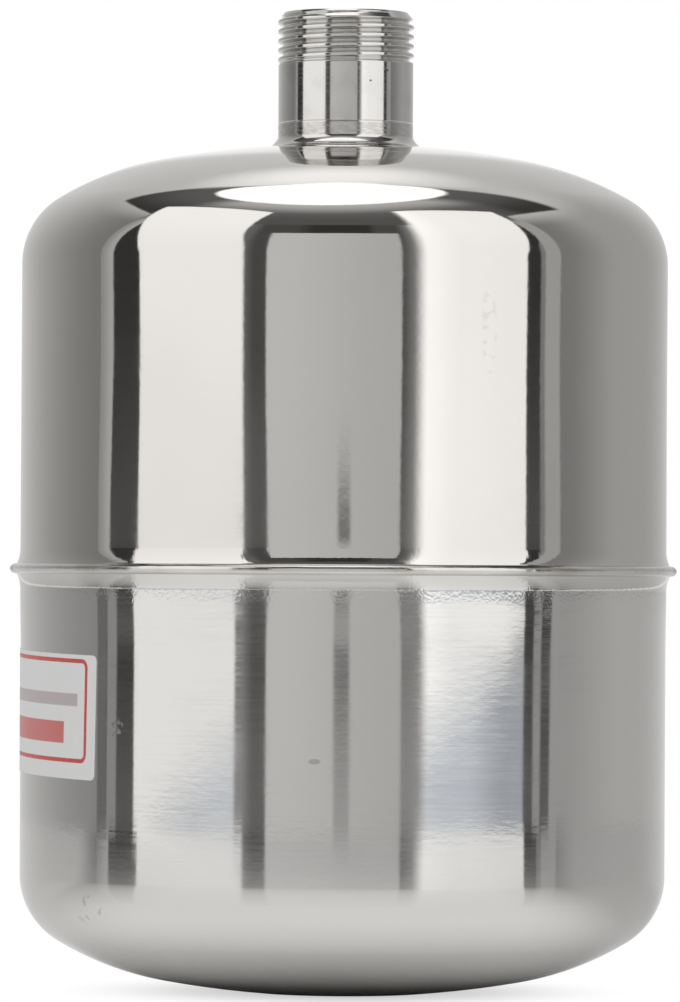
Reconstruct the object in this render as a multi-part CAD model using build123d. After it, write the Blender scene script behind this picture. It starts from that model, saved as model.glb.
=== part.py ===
"""Stainless pressure tank: two drawn cups, a threaded nipple, a rubber diaphragm and an air valve.

Millimetres, +Z up. The tank stands on the rim of the valve recess in its lower dome; the origin is
on the tank's axis at that rim's lowest point. The front is -Y.
"""

from build123d import *
import os
from math import acos, asin, atan2, cos, degrees, hypot, radians, sin, sqrt, tan

# Drawn cups: outer surface of the sheet.
body_radius = 79.0
cup_depth = 104.0
sheet = 1.0
crown_radius = 249.0
crown_angle = 10.55
shoulder_radius = 73.0
knuckle_radius = 18.7

# Rims of the two cups, turned outwards and joined by the weld bead.
flare_radius = 9.0
flare_height = 5.0
lip_reach = 0.8
bead_reach = 2.5

# Recess for the air valve, drawn into the lower dome.
foot_radius = 22.0
foot_bend = 4.0
recess_height = 22.0
recess_draft = 4.0
recess_corner = 4.0

# Threaded nipple on the upper dome, a 1 inch parallel pipe thread.
nipple_rise = 32.4
nipple_radius = 16.5
nipple_bore = 13.5
thread_radius = 16.6245
thread_depth = 1.479
thread_length = 12.2
rim_radius = 15.1
rim_chamfer = 1.9
runout_length = 1.6
runout_cover = 0.6
runout_slope = 0.5
bore_chamfer = 0.7
nipple_fillet_rise = 2.5
nipple_fillet_reach = 1.9

# Diaphragm and the hoop that clamps its rim in the lower cup.
rubber = 2.0
rubber_gap = 0.4
pad_radius = 21.0
pad_thickness = 4.5
pad_gap = 1.0
bulb_radius = 3.0
bulb_drop = 20.0
hoop_sheet = 1.0
hoop_height = 26.0
hoop_gap = 0.05
hoop_bend = 2.0
hoop_slope = 60.0

# Share of its leg that is left in the hollow of a fillet weld, on the nipple and on the bush.
weld_hollow = 0.28

# Welded bush in the recess floor.
bush_radius = 7.5
bush_below = 1.5
bush_flange_radius = 10.0
bush_flange_height = 2.5
bush_above = 8.0
bush_bore = 4.9
bush_weld_leg = 1.4

# Air valve, screwed into the bush from below.
stem_screw_radius = 4.86
stem_inner_reach = 1.0
hex_flats = 14.0
hex_height = 4.0
hex_chamfer = 0.6
seal_groove_radius = 6.3
seal_groove_depth = 1.3
seal_clearance = 0.01
neck_radius = 3.85
neck_length = 11.0
neck_chamfer = 0.5
core_screw_radius = 2.6
core_screw_length = 6.5
core_seat_radius = 2.4
core_seat_length = 2.5
air_bore = 1.95

# Valve core: screwed plug with barrel, sprung pin and two seals.
plug_clearance = 0.02
plug_setback = 0.8
plug_length = 3.4
plug_bridge = 1.9
bridge_height = 1.4
barrel_radius = 1.75
barrel_bore = 1.4
core_length = 10.6
ledge_thickness = 1.2
ledge_bore = 0.95
guide_clearance = 0.06
pin_radius = 0.62
pin_setback = 0.4
pin_travel = 1.0
collar_radius = 1.2
collar_height = 0.6
collar_offset = 0.3
poppet_radius = 1.5
poppet_height = 0.7
poppet_rubber = 0.8
pin_tail = 0.6
seal_start = 0.5
seal_height = 1.7
spring_wire = 0.28
spring_turns = 7

# Cap over the valve.
cap_radius = 5.3
cap_thread_gap = 0.06
cap_engagement = 7.6
cap_end = 1.7
cap_rounding = 0.9
cap_gasket = 0.8
cap_gasket_bore = 1.9
cap_flutes = 14
cap_flute_radius = 0.55
cap_travel = 10.0

# Adhesive label on the left of the lower cup.
label_length = 95.0
label_height = 29.7
label_thickness = 0.15
label_corner = 1.5
label_start = 48.0
label_top_drop = 20.7
label_tilt = 1.3


# Places that follow from the sizes above.
shoulder_end = degrees(
    asin(
        (body_radius - knuckle_radius - (crown_radius - shoulder_radius) * sin(radians(crown_angle)))
        / (shoulder_radius - knuckle_radius)
    )
)
dome_depth = (
    crown_radius
    - (crown_radius - shoulder_radius) * cos(radians(crown_angle))
    - (shoulder_radius - knuckle_radius) * cos(radians(shoulder_end))
)
wall_length = cup_depth - dome_depth - flare_height
foot_angle = degrees(asin(foot_radius / (crown_radius - foot_bend)))
foot_lift = (crown_radius - foot_bend) * (1 - cos(radians(foot_angle)))
seam_z = cup_depth - foot_lift
crown_z = seam_z + cup_depth
nipple_top = crown_z + nipple_rise


def dome_height(radius, offset=0.0):
    """Height of the crown arc above its own apex at a radius, on a surface offset inwards."""
    arc = crown_radius - offset
    return arc - sqrt(arc**2 - radius**2)


def trace(start, heading, moves, offset=0.0):
    """Tangent chain of lines and arcs in the (radius, height) plane, as edges and its two end points.

    A move is ("line", length) or ("arc", radius, turn), a positive turn going left. The offset moves
    the whole chain to its left, so the same moves give both faces of a sheet.
    """
    def aside(point, angle):
        return (point[0] - offset * sin(radians(angle)), point[1] + offset * cos(radians(angle)))

    point = start
    edges = []
    first = aside(point, heading)
    for move in moves:
        if move[0] == "line":
            along = radians(heading)
            new_point = (point[0] + move[1] * cos(along), point[1] + move[1] * sin(along))
            edges.append(Line(aside(point, heading), aside(new_point, heading)))
            point = new_point
            continue
        radius, turn = move[1], move[2]
        side = 1 if turn > 0 else -1
        centre = (
            point[0] - side * radius * sin(radians(heading)),
            point[1] + side * radius * cos(radians(heading)),
        )

        def on_arc(angle):
            return (centre[0] + side * radius * sin(radians(angle)), centre[1] - side * radius * cos(radians(angle)))

        ends = [(on_arc(angle), angle) for angle in (heading, heading + turn / 2, heading + turn)]
        edges.append(ThreePointArc(*[aside(place, angle) for place, angle in ends]))
        heading = heading + turn
        point = on_arc(heading)
    return edges, first, aside(point, heading)


def sheet_section(start, heading, moves, thickness, offset=0.0):
    """Section of a bent sheet: a traced chain, thickened to its left."""
    near, near_start, near_end = trace(start, heading, moves, offset)
    far, far_start, far_end = trace(start, heading, moves, offset + thickness)
    return make_face(near + [Line(near_end, far_end)] + far + [Line(far_start, near_start)])


def turned(section):
    """Solid of revolution about Z from a section drawn as (radius, height)."""
    return revolve(Plane.XZ * section, Axis.Z)


def lathe(*points):
    """Solid of revolution from the corners of its section, as (radius, height)."""
    return turned(make_face(Polyline(*points, close=True)))


def region(low_radius, high_radius, low_z, high_z):
    """Rectangle in the section plane."""
    middle = ((low_radius + high_radius) / 2, (low_z + high_z) / 2)
    return Pos(*middle) * Rectangle(high_radius - low_radius, high_z - low_z)


dome_moves = [
    ("arc", shoulder_radius, shoulder_end - crown_angle),
    ("arc", knuckle_radius, 90 - shoulder_end),
    ("line", wall_length),
]
flare_turn = degrees(acos(1 - (lip_reach + sheet) / flare_radius))
flare_moves = [("arc", flare_radius, -flare_turn)]


def trim_rim(section):
    """Cut the flared rim of a cup square: at the lip's reach and at the seam plane."""
    keep = region(0, body_radius + lip_reach, -cup_depth, 0)
    return section & keep


def upper_shell():
    moves = [("arc", crown_radius, crown_angle)] + dome_moves + flare_moves
    cup = turned(trim_rim(sheet_section((0, -cup_depth), 0, moves, sheet)))
    cup = Pos(0, 0, seam_z) * (Rot(180, 0, 0) * cup)
    hole = Pos(0, 0, crown_z) * Cylinder(nipple_radius, cup_depth)
    return cup - hole


# Recess wall: from the corner arc down to the bend that the tank stands on.
bend_centre = (foot_radius, -cup_depth + foot_lift + foot_bend)
bend_end_z = bend_centre[1] - foot_bend * sin(radians(recess_draft))
recess_floor_z = -cup_depth + foot_lift + recess_height
corner_end_z = recess_floor_z - recess_corner * (1 - sin(radians(recess_draft)))
recess_wall = (corner_end_z - bend_end_z) / cos(radians(recess_draft))
recess_mouth = foot_radius - foot_bend * cos(radians(recess_draft))
recess_floor_radius = (
    recess_mouth - recess_wall * sin(radians(recess_draft)) - recess_corner * cos(radians(recess_draft))
)


def lower_shell():
    moves = [
        ("line", recess_floor_radius - bush_radius),
        ("arc", recess_corner, recess_draft - 90),
        ("line", recess_wall),
        ("arc", foot_bend, 90 - recess_draft + foot_angle),
        ("arc", crown_radius, crown_angle - foot_angle),
    ]
    section = sheet_section((bush_radius, recess_floor_z), 0, moves + dome_moves + flare_moves, sheet)
    return Pos(0, 0, seam_z) * turned(trim_rim(section))


def seam_weld():
    """Bead round the two rims, which closes the joint."""
    start = body_radius + lip_reach
    rise = flare_height - sqrt(flare_radius**2 - (flare_radius - lip_reach) ** 2)
    outline = [
        ThreePointArc((start, -rise), (body_radius + bead_reach, 0), (start, rise)),
        Line((start, rise), (start, -rise)),
    ]
    return Pos(0, 0, seam_z) * turned(make_face(outline))


nipple_bottom = crown_z - sheet - dome_height(nipple_radius, sheet)


def nipple():
    """Turned nipple; the thread is a plain cylinder of its outer size with a run-out groove."""
    runout_top = nipple_top - thread_length
    runout_radius = thread_radius - thread_depth + runout_cover
    return lathe(
        (nipple_bore, nipple_bottom),
        (nipple_radius, nipple_bottom),
        (nipple_radius, runout_top - runout_length),
        (runout_radius, runout_top - runout_length + runout_slope),
        (runout_radius, runout_top - runout_slope),
        (thread_radius, runout_top),
        (thread_radius, nipple_top - rim_chamfer),
        (rim_radius, nipple_top),
        (nipple_bore + bore_chamfer, nipple_top),
        (nipple_bore, nipple_top - bore_chamfer),
    )


def nipple_weld():
    """Concave fillet weld between the nipple and the dome."""
    toe_radius = nipple_radius + nipple_fillet_reach
    toe_z = crown_z - dome_height(toe_radius)
    root_z = crown_z - dome_height(nipple_radius)
    top_z = root_z + nipple_fillet_rise
    hollow = (nipple_radius + weld_hollow * nipple_fillet_reach, root_z + weld_hollow * nipple_fillet_rise)
    half = (nipple_radius + toe_radius) / 2
    outline = [
        ThreePointArc((toe_radius, toe_z), hollow, (nipple_radius, top_z)),
        Line((nipple_radius, top_z), (nipple_radius, root_z)),
        ThreePointArc((nipple_radius, root_z), (half, crown_z - dome_height(half)), (toe_radius, toe_z)),
    ]
    return turned(make_face(outline))


rubber_offset = sheet + rubber_gap
wall_inside = body_radius - sheet
bulb_centre = wall_inside - bulb_radius
hoop_grip = body_radius - rubber_offset - rubber - hoop_gap


def diaphragm():
    """Rubber cup under the upper dome, with a moulded pad below the nipple and a rim bulb."""
    moves = [
        ("arc", crown_radius, crown_angle),
        dome_moves[0],
        dome_moves[1],
        ("line", wall_length + flare_height + bulb_drop),
    ]
    skin = sheet_section((0, -cup_depth), 0, moves, rubber, rubber_offset)
    bulb = Pos(bulb_centre, bulb_drop) * Circle(bulb_radius)
    pad_low = -cup_depth + rubber_offset
    pad = region(0, pad_radius, pad_low, pad_low + rubber + pad_thickness)
    roof = region(0, pad_radius, pad_low - sheet, -cup_depth + crown_z - nipple_bottom + pad_gap)
    cup = turned(skin + bulb + pad - roof)
    return Pos(0, 0, seam_z) * (Rot(180, 0, 0) * cup)


def bent(corners, radius):
    """Start, heading and moves of a line through corners, each rounded by the same radius."""
    legs = list(zip(corners, corners[1:]))
    headings = [degrees(atan2(b[1] - a[1], b[0] - a[0])) for a, b in legs]
    lengths = [hypot(b[0] - a[0], b[1] - a[1]) for a, b in legs]
    turns = [after - before for before, after in zip(headings, headings[1:])]
    trims = [radius * tan(radians(abs(turn)) / 2) for turn in turns]
    moves = [("line", lengths[0] - trims[0])]
    for number, turn in enumerate(turns):
        moves.append(("arc", radius, turn))
        left = trims[number + 1] if number + 1 < len(trims) else 0
        moves.append(("line", lengths[number + 1] - trims[number] - left))
    return corners[0], headings[0], moves


def clench_hoop():
    """Rolled hoop that presses the diaphragm's bulb against the wall of the lower cup."""
    groove = bulb_radius + hoop_gap
    crest = bulb_centre - groove
    half = groove * tan(radians(hoop_slope) / 2)
    below = (wall_inside - crest) / tan(radians(hoop_slope))
    above = (hoop_grip - crest) / tan(radians(hoop_slope))
    corners = [
        (wall_inside, -bulb_drop - hoop_height / 2),
        (wall_inside, -bulb_drop - half - below),
        (crest, -bulb_drop - half),
        (crest, -bulb_drop + half),
        (hoop_grip, -bulb_drop + half + above),
        (hoop_grip, -bulb_drop + hoop_height / 2),
    ]
    return Pos(0, 0, seam_z) * turned(sheet_section(*bent(corners, hoop_bend), hoop_sheet))


# Heights of the air valve, from its seat on the recess floor down to its mouth.
floor_top = recess_height + sheet
bush_low = recess_height - bush_below
bush_top = floor_top + bush_flange_height + bush_above
hex_low = bush_low - hex_height
mouth_z = hex_low - neck_length
stem_top = bush_top + stem_inner_reach
seat_low = mouth_z + core_screw_length
seat_high = seat_low + core_seat_length
plug_low = mouth_z + plug_setback
core_top = plug_low + core_length
ledge_low = core_top - ledge_thickness
collar_low = plug_low + bridge_height + collar_offset
collar_high = collar_low + collar_height


def valve_bush():
    """Turned bush through the recess floor, its flange on the inside."""
    return lathe(
        (bush_bore, bush_low),
        (bush_radius, bush_low),
        (bush_radius, floor_top),
        (bush_flange_radius, floor_top),
        (bush_flange_radius, floor_top + bush_flange_height),
        (bush_radius, floor_top + bush_flange_height),
        (bush_radius, bush_top),
        (bush_bore, bush_top),
    )


def bush_weld():
    """Concave fillet weld round the bush, on the outer face of the recess floor."""
    root = (bush_radius, recess_height)
    toe = (bush_radius + bush_weld_leg, recess_height)
    top = (bush_radius, recess_height - bush_weld_leg)
    hollow = (bush_radius + weld_hollow * bush_weld_leg, recess_height - weld_hollow * bush_weld_leg)
    return turned(make_face([ThreePointArc(toe, hollow, top), Line(top, root), Line(root, toe)]))


def valve_stem():
    """Brass valve body: screwed end, hexagon with a seal groove, threaded neck and stepped bore."""
    corner = hex_flats / 2 / cos(radians(30))
    body = lathe((0, hex_low), (stem_screw_radius, hex_low), (stem_screw_radius, stem_top), (0, stem_top))
    hexagon = Pos(0, 0, hex_low) * extrude(RegularPolygon(hex_flats / 2, 6, major_radius=False), hex_height)
    turned_hexagon = lathe(
        (0, hex_low),
        (hex_flats / 2, hex_low),
        (corner, hex_low + hex_chamfer),
        (corner, bush_low - hex_chamfer),
        (hex_flats / 2, bush_low),
        (0, bush_low),
    )
    groove = Pos(0, 0, bush_low - seal_groove_depth / 2) * (
        Cylinder(seal_groove_radius, seal_groove_depth) - Cylinder(stem_screw_radius, seal_groove_depth)
    )
    neck = lathe(
        (0, mouth_z),
        (neck_radius - neck_chamfer, mouth_z),
        (neck_radius, mouth_z + neck_chamfer),
        (neck_radius, hex_low),
        (0, hex_low),
    )
    bore = lathe(
        (0, mouth_z),
        (core_screw_radius, mouth_z),
        (core_screw_radius, seat_low),
        (core_seat_radius, seat_low),
        (air_bore, seat_high),
        (air_bore, stem_top),
        (0, stem_top),
    )
    return body + (hexagon & turned_hexagon) + neck - groove - bore


def stem_seal():
    """Rubber ring in the groove of the hexagon, under the bush."""
    section = seal_groove_depth / 2 - seal_clearance
    middle = (stem_screw_radius + seal_groove_radius) / 2
    return Pos(0, 0, bush_low - seal_groove_depth / 2) * Torus(middle, section)


def core_body():
    """Screwed plug of the valve core with its slotted bridge, and the barrel for the spring."""
    plug = lathe(
        (0, plug_low),
        (core_screw_radius - plug_clearance, plug_low),
        (core_screw_radius - plug_clearance, plug_low + plug_length),
        (barrel_radius, plug_low + plug_length),
        (barrel_radius, core_top),
        (0, core_top),
    )
    bore = lathe(
        (0, plug_low),
        (pin_radius + guide_clearance, plug_low),
        (pin_radius + guide_clearance, plug_low + bridge_height),
        (barrel_bore, plug_low + bridge_height),
        (barrel_bore, ledge_low),
        (ledge_bore, ledge_low),
        (ledge_bore, core_top),
        (0, core_top),
    )
    slots = [
        Pos(0, side * (plug_bridge + core_screw_radius) / 2, plug_low + bridge_height / 2)
        * Box(2 * core_screw_radius, core_screw_radius, bridge_height)
        for side in (1, -1)
    ]
    return plug - bore - slots


def core_seal():
    """Tapered ring between the barrel and its seat in the valve stem."""
    slope = (core_seat_radius - air_bore) / core_seat_length
    outer = core_seat_radius - plug_clearance
    low, high = seal_start, seal_start + seal_height
    return lathe(
        (barrel_radius, seat_low + low),
        (outer - slope * low, seat_low + low),
        (outer - slope * high, seat_low + high),
        (barrel_radius, seat_low + high),
    )


def core_pin():
    """Valve pin: tip in the mouth, collar under the spring, cup behind the poppet rubber."""
    cup_low = core_top + poppet_rubber
    return lathe(
        (0, mouth_z + pin_setback),
        (pin_radius, mouth_z + pin_setback),
        (pin_radius, collar_low),
        (collar_radius, collar_low),
        (collar_radius, collar_high),
        (pin_radius, collar_high),
        (pin_radius, cup_low),
        (poppet_radius, cup_low),
        (poppet_radius, cup_low + poppet_height),
        (pin_radius, cup_low + poppet_height),
        (pin_radius, cup_low + poppet_height + pin_tail),
        (0, cup_low + poppet_height + pin_tail),
    )


def poppet_seal():
    """Rubber washer that closes the end of the barrel."""
    return lathe(
        (pin_radius, core_top),
        (poppet_radius, core_top),
        (poppet_radius, core_top + poppet_rubber),
        (pin_radius, core_top + poppet_rubber),
    )


def core_spring():
    """Coil between the pin's collar and the ledge of the barrel."""
    coil = (collar_radius + pin_radius) / 2
    low = collar_high + spring_wire / 2
    rise = ledge_low - collar_high - spring_wire
    path = Pos(0, 0, low) * Helix(rise / spring_turns, rise, coil)
    section = Plane(path @ 0, z_dir=path % 0) * Circle(spring_wire / 2)
    return sweep(section, path=path, is_frenet=True)


cap_low = mouth_z - cap_gasket - cap_end
cap_rim = mouth_z + cap_engagement


def valve_cap():
    """Moulded cap, fluted for the fingers, its bore a plain cylinder where the thread is."""
    blank = lathe(
        (0, cap_low),
        (cap_radius - cap_rounding, cap_low),
        (cap_radius, cap_low + cap_rounding),
        (cap_radius, cap_rim),
        (0, cap_rim),
    )
    bore = lathe(
        (0, mouth_z - cap_gasket),
        (neck_radius + cap_thread_gap, mouth_z - cap_gasket),
        (neck_radius + cap_thread_gap, cap_rim),
        (0, cap_rim),
    )
    flute_length = cap_rim - cap_low - 2 * cap_rounding
    flutes = PolarLocations(cap_radius + cap_flute_radius / 2, cap_flutes) * Cylinder(
        cap_flute_radius, flute_length
    )
    flutes = [Pos(0, 0, (cap_rim + cap_low) / 2) * flute for flute in flutes]
    return blank - bore - flutes


def cap_seal():
    """Rubber ring in the cap, against the mouth of the valve stem."""
    return lathe(
        (cap_gasket_bore, mouth_z - cap_gasket),
        (neck_radius - neck_chamfer, mouth_z - cap_gasket),
        (neck_radius - neck_chamfer, mouth_z),
        (cap_gasket_bore, mouth_z),
    )


def label():
    """Adhesive label wrapped round the left of the lower cup, a little askew."""
    half_wrap = degrees(label_length / body_radius) / 2
    middle = radians(label_start + half_wrap)
    centre_z = seam_z - label_top_drop - label_height / 2 + label_length / 2 * sin(radians(label_tilt))
    outward = Vector(-sin(middle), -cos(middle), 0)
    facing = Plane(origin=(0, 0, centre_z), x_dir=(cos(middle), -sin(middle), 0), z_dir=outward)
    outline = RectangleRounded(2 * body_radius * sin(radians(half_wrap)), label_height, label_corner)
    block = extrude(facing * (Rot(0, 0, -label_tilt) * outline), 2 * body_radius)
    skin = Cylinder(body_radius + label_thickness, cup_depth) - Cylinder(body_radius, cup_depth)
    return Pos(0, 0, seam_z - cup_depth / 2) * skin & block


nodes = {
    "upper_shell": upper_shell,
    "lower_shell": lower_shell,
    "seam_weld": seam_weld,
    "nipple": nipple,
    "nipple_weld": nipple_weld,
    "diaphragm": diaphragm,
    "clench_hoop": clench_hoop,
    "valve_bush": valve_bush,
    "bush_weld": bush_weld,
    "valve_stem": valve_stem,
    "stem_seal": stem_seal,
    "core_body": core_body,
    "core_seal": core_seal,
    "core_pin": core_pin,
    "poppet_seal": poppet_seal,
    "core_spring": core_spring,
    "valve_cap": valve_cap,
    "cap_seal": cap_seal,
    "label": label,
}

os.makedirs("parts", exist_ok=True)
for name, make in nodes.items():
    export_step(make(), f"parts/{name}.step")
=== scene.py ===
# %% [markdown]
# # A small stainless steel pressure tank
# This lesson dresses the imported model of a welded tank: two drawn cups, a weld bead, a threaded
# nipple, a label, and an air valve in a recess underneath. The imported model gives every piece its
# place, and each new piece is made to fit it, in metres.

# %% Load the imported tank
import math

import bpy
from mathutils import Matrix, Vector, noise


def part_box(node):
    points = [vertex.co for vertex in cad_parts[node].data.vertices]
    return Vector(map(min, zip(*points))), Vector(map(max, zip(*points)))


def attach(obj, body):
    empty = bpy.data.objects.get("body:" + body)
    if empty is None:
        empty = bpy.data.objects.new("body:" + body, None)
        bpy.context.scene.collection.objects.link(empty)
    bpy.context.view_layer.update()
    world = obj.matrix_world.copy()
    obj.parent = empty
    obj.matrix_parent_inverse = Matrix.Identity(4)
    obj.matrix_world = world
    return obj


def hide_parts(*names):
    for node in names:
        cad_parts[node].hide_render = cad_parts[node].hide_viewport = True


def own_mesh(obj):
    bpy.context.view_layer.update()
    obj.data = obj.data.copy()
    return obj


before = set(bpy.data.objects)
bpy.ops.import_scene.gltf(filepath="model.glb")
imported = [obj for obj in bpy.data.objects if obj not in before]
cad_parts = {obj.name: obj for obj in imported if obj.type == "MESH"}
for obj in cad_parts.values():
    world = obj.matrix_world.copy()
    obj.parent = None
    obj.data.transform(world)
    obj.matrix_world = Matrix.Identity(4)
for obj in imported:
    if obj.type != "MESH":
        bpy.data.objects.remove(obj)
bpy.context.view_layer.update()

# %% [markdown]
# The cups were drawn from flat sheet over a punch, and their outline is a chain of tangent arcs: a
# nearly flat crown, a shoulder, a tighter knuckle, the straight wall, and a rim that flares outwards
# for the weld. The sizes are written down once here, with angles in degrees, and the heights come
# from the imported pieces.

# %% Sizes that the pieces share
MM = 0.001
MICRON = 0.001 * MM
body_radius = 79.0 * MM
sheet = 1.0 * MM
cup_depth = 104.0 * MM
crown_radius = 249.0 * MM
crown_angle = 10.55
shoulder_radius = 73.0 * MM
knuckle_radius = 18.7 * MM
flare_radius = 9.0 * MM
flare_height = 5.0 * MM
lip_reach = 0.8 * MM
bead_reach = 2.5 * MM
nipple_radius = 16.5 * MM
foot_radius = 22.0 * MM
foot_bend = 4.0 * MM
recess_height = 22.0 * MM
recess_draft = 4.0
recess_corner = 4.0 * MM
bush_radius = 7.5 * MM
finest_step = 0.2 * MM

seam_z = (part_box("seam_weld")[0][2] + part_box("seam_weld")[1][2]) / 2
crown_z = seam_z + cup_depth
nipple_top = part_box("nipple")[1][2]
nipple_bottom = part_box("nipple")[0][2]
print("seam", seam_z, "crown", crown_z, "nipple", nipple_bottom, nipple_top)

# %% [markdown]
# Every turned or drawn piece here is the same job: draw half a section, then spin it round the
# tank's axis. The section is drawn as a maker would describe it, as straight runs and bends that
# follow each other, and the other face of the sheet is the same line shifted sideways.

# %% Draw a section from runs and bends
def trace(start, heading, moves, offset=0.0):
    """Points along runs (length, pieces) and bends (radius, turn in degrees), shifted to their left."""
    def aside(place, angle):
        turn = math.radians(angle)
        return (place[0] - offset * math.sin(turn), place[1] + offset * math.cos(turn))

    place = start
    points = [aside(place, heading)]
    for kind, size, amount in moves:
        if kind == "run":
            length = size / amount
            turn = math.radians(heading)
            for piece in range(amount):
                place = (place[0] + length * math.cos(turn), place[1] + length * math.sin(turn))
                points.append(aside(place, heading))
        else:
            side = 1 if amount > 0 else -1
            middle = (
                place[0] - side * size * math.sin(math.radians(heading)),
                place[1] + side * size * math.cos(math.radians(heading)),
            )
            most = round(size * math.radians(abs(amount)) / finest_step)
            steps = max(3, min(round(abs(amount)), most))
            for step in range(1, steps + 1):
                angle = heading + amount * step / steps
                place = (
                    middle[0] + side * size * math.sin(math.radians(angle)),
                    middle[1] - side * size * math.cos(math.radians(angle)),
                )
                points.append(aside(place, angle))
            heading += amount
    return points


def dome_height(radius):
    """How far the crown's arc has dropped at a radius."""
    return crown_radius - math.sqrt(crown_radius**2 - radius**2)


# %% [markdown]
# The spinning itself is done in edit mode. A plane is merged to one point, the point is extruded
# along the section, and the wire is spun. Points that meet on the axis or at the seam of the spin are
# merged, and only then are the normals made to point outwards, because the merge closes the shape.

# %% Spin a section into a piece
def lathe(name, section, steps=192, smooth=30):
    """A turned piece from a section of (radius, height) points, drawn by extruding a point."""
    bpy.ops.object.select_all(action="DESELECT")
    bpy.ops.mesh.primitive_plane_add(size=MM, location=(0, 0, 0))
    piece = bpy.context.object
    piece.name = piece.data.name = name
    bpy.ops.object.mode_set(mode="EDIT")
    bpy.ops.mesh.select_mode(type="VERT")
    bpy.ops.mesh.select_all(action="SELECT")
    bpy.ops.mesh.merge(type="CENTER")
    bpy.ops.transform.translate(value=(section[0][0], 0, section[0][1]))
    line = section + [section[0]]
    for before, after in zip(line, line[1:]):
        step = (after[0] - before[0], 0, after[1] - before[1])
        bpy.ops.mesh.extrude_vertices_move(TRANSFORM_OT_translate={"value": step})
    bpy.ops.mesh.select_all(action="SELECT")
    bpy.ops.mesh.remove_doubles(threshold=0.001 * MM)
    bpy.ops.mesh.select_all(action="SELECT")
    bpy.ops.mesh.spin(steps=steps, angle=2 * math.pi, center=(0, 0, 0), axis=(0, 0, 1))
    bpy.ops.mesh.select_all(action="SELECT")
    bpy.ops.mesh.remove_doubles(threshold=0.002 * MM)
    bpy.ops.mesh.select_all(action="SELECT")
    bpy.ops.mesh.normals_make_consistent(inside=False)
    bpy.ops.object.mode_set(mode="OBJECT")
    bpy.ops.object.shade_smooth_by_angle(angle=math.radians(smooth))
    print(name, len(piece.data.polygons), "faces", [round(d / MM, 2) for d in piece.dimensions], "mm")
    return piece


def ramp(value, low, high):
    """A smooth rise from 0 to 1 while a plain number goes from low to high."""
    share = min(1.0, max(0.0, (value - low) / (high - low)))
    return share * share * (3 - 2 * share)


def settle(piece, body, finish, slot, *nodes):
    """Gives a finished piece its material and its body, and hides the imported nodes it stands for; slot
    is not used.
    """
    piece.data.materials.clear()
    piece.data.materials.append(finish)
    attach(piece, body)
    if nodes:
        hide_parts(*nodes)


# %% [markdown]
# A material is a small graph of nodes. Written node by node it is long and hard to read, so one
# small class wraps a socket: sums and products of such wires add the Math nodes themselves, and one
# method adds any other node from its type, its settings, and what goes into its sockets.

# %% Shader maths as plain Python
class Wire:
    """An output socket of a node. Python's signs on it add Math nodes."""

    def __init__(self, tree, socket=None):
        self.tree = tree
        self.socket = socket

    def node(self, kind, settings=None, inputs=None, output=0):
        """Any node: its settings first, then values or wires for its sockets, by name or number."""
        made = self.tree.nodes.new(kind)
        for name, value in (settings or {}).items():
            setattr(made, name, value)
        for name, value in (inputs or {}).items():
            if isinstance(value, Wire):
                self.tree.links.new(value.socket, made.inputs[name])
            else:
                made.inputs[name].default_value = value
        return Wire(self.tree, made.outputs[output] if len(made.outputs) else None)

    def other(self, output):
        """Another output of the same node."""
        return Wire(self.tree, self.socket.node.outputs[output])

    def math(self, operation, *values, clamp=False):
        """A Math node on any values or wires."""
        settings = {"operation": operation, "use_clamp": clamp}
        return self.node("ShaderNodeMath", settings, dict(enumerate(values)))

    def __add__(self, other):
        return self.math("ADD", self, other)

    def __radd__(self, other):
        return self.math("ADD", other, self)

    def __sub__(self, other):
        return self.math("SUBTRACT", self, other)

    def __rsub__(self, other):
        return self.math("SUBTRACT", other, self)

    def __mul__(self, other):
        return self.math("MULTIPLY", self, other)

    def __rmul__(self, other):
        return self.math("MULTIPLY", other, self)

    def __truediv__(self, other):
        return self.math("DIVIDE", self, other)

    def __pow__(self, other):
        return self.math("POWER", self, other)

    def __abs__(self):
        return self.math("ABSOLUTE", self)

    def ease(self, low, high, start=0.0, end=1.0):
        """A smooth rise from start to end while this wire goes from low to high."""
        settings = {"interpolation_type": "SMOOTHSTEP"}
        return self.node("ShaderNodeMapRange", settings, {0: self, 1: low, 2: high, 3: start, 4: end})

    def band(self, low, high, soft):
        """1 between low and high, 0 outside, with soft edges."""
        return self.ease(low - soft, low + soft) * self.ease(high - soft, high + soft, 1.0, 0.0)

    def mix(self, first, second):
        """Two colours mixed by this wire, from the first at 0 to the second at 1."""
        settings = {"data_type": "RGBA"}
        return self.node("ShaderNodeMix", settings, {0: self, 6: first, 7: second}, output=2)


def speckle(where, scale, detail=2.0, roughness=0.5, stretch=(1, 1, 1), shift=(0, 0, 0)):
    """Noise, 0 to 1, at a scale in cycles per metre, along coordinates that may be stretched."""
    spots = where.node("ShaderNodeMapping", None, {"Vector": where, "Location": shift, "Scale": stretch})
    inputs = {"Vector": spots, "Scale": scale, "Detail": detail, "Roughness": roughness}
    return where.node("ShaderNodeTexNoise", None, inputs)


def finish_of(name, colour, roughness, metallic=0.0):
    """A material with its shader set, and the wires of the shader and of the piece's coordinates."""
    material = bpy.data.materials.new(name)
    material.use_nodes = True
    material.diffuse_color = colour
    tree = material.node_tree
    shader = tree.nodes["Principled BSDF"]
    shader.inputs["Base Color"].default_value = colour
    shader.inputs["Roughness"].default_value = roughness
    shader.inputs["Metallic"].default_value = metallic
    where = Wire(tree).node("ShaderNodeTexCoord", output=3)
    return material, shader, where


def feed(shader, socket, wire):
    """Links a wire to a socket of the shader."""
    wire.tree.links.new(wire.socket, shader.inputs[socket])


def bump(height, distance, normal=None):
    """A Bump node: height is 0 to 1, and distance is what 1 stands for in metres."""
    inputs = {"Height": height, "Distance": distance, "Strength": 1.0}
    if normal:
        inputs["Normal"] = normal
    return height.node("ShaderNodeBump", None, inputs)


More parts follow.
